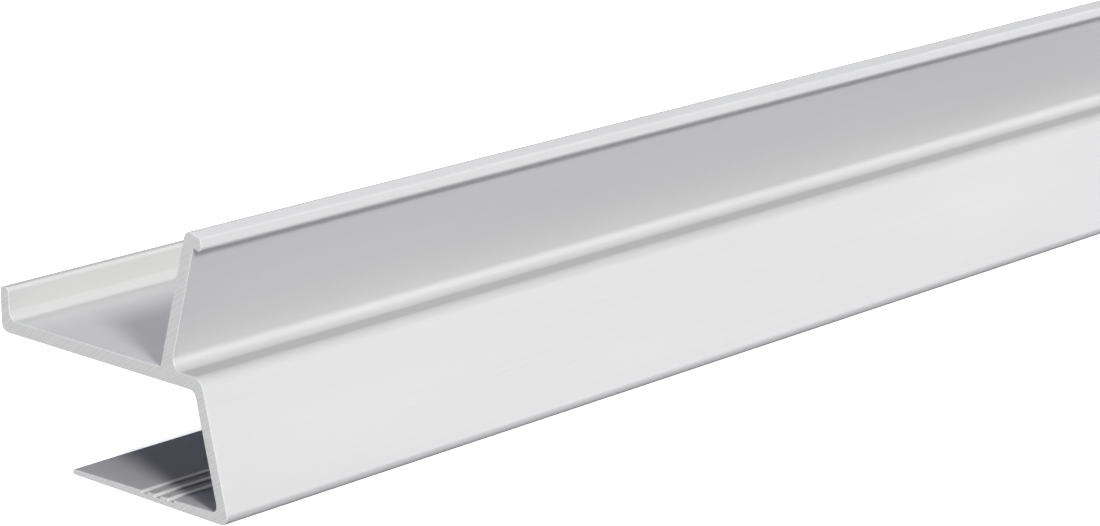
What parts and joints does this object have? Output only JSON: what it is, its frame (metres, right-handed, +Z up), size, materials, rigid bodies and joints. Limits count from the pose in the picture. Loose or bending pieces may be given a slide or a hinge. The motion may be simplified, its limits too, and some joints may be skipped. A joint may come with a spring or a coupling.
{
  "type": "aluminium extrusion profile",
  "caption": "Straight aluminium edge profile with a shallow tray, a leaning wall with a hooked head, and a rear pocket over a thin grooved flange.",
  "frame": {"origin": "bottom centre of the bounding box, on the plane of the flange's underside, half way along the bar", "axes": "+X across the section towards the front wall, +Y along the bar, +Z up from the flange to the hooked head"},
  "size_m": [0.051, 1, 0.0435],
  "materials": {
    "aluminium": "matt anodised, with sawn ends"
  },
  "bodies": {
    "root": {"profile": "aluminium"}
  },
  "joints": []
}
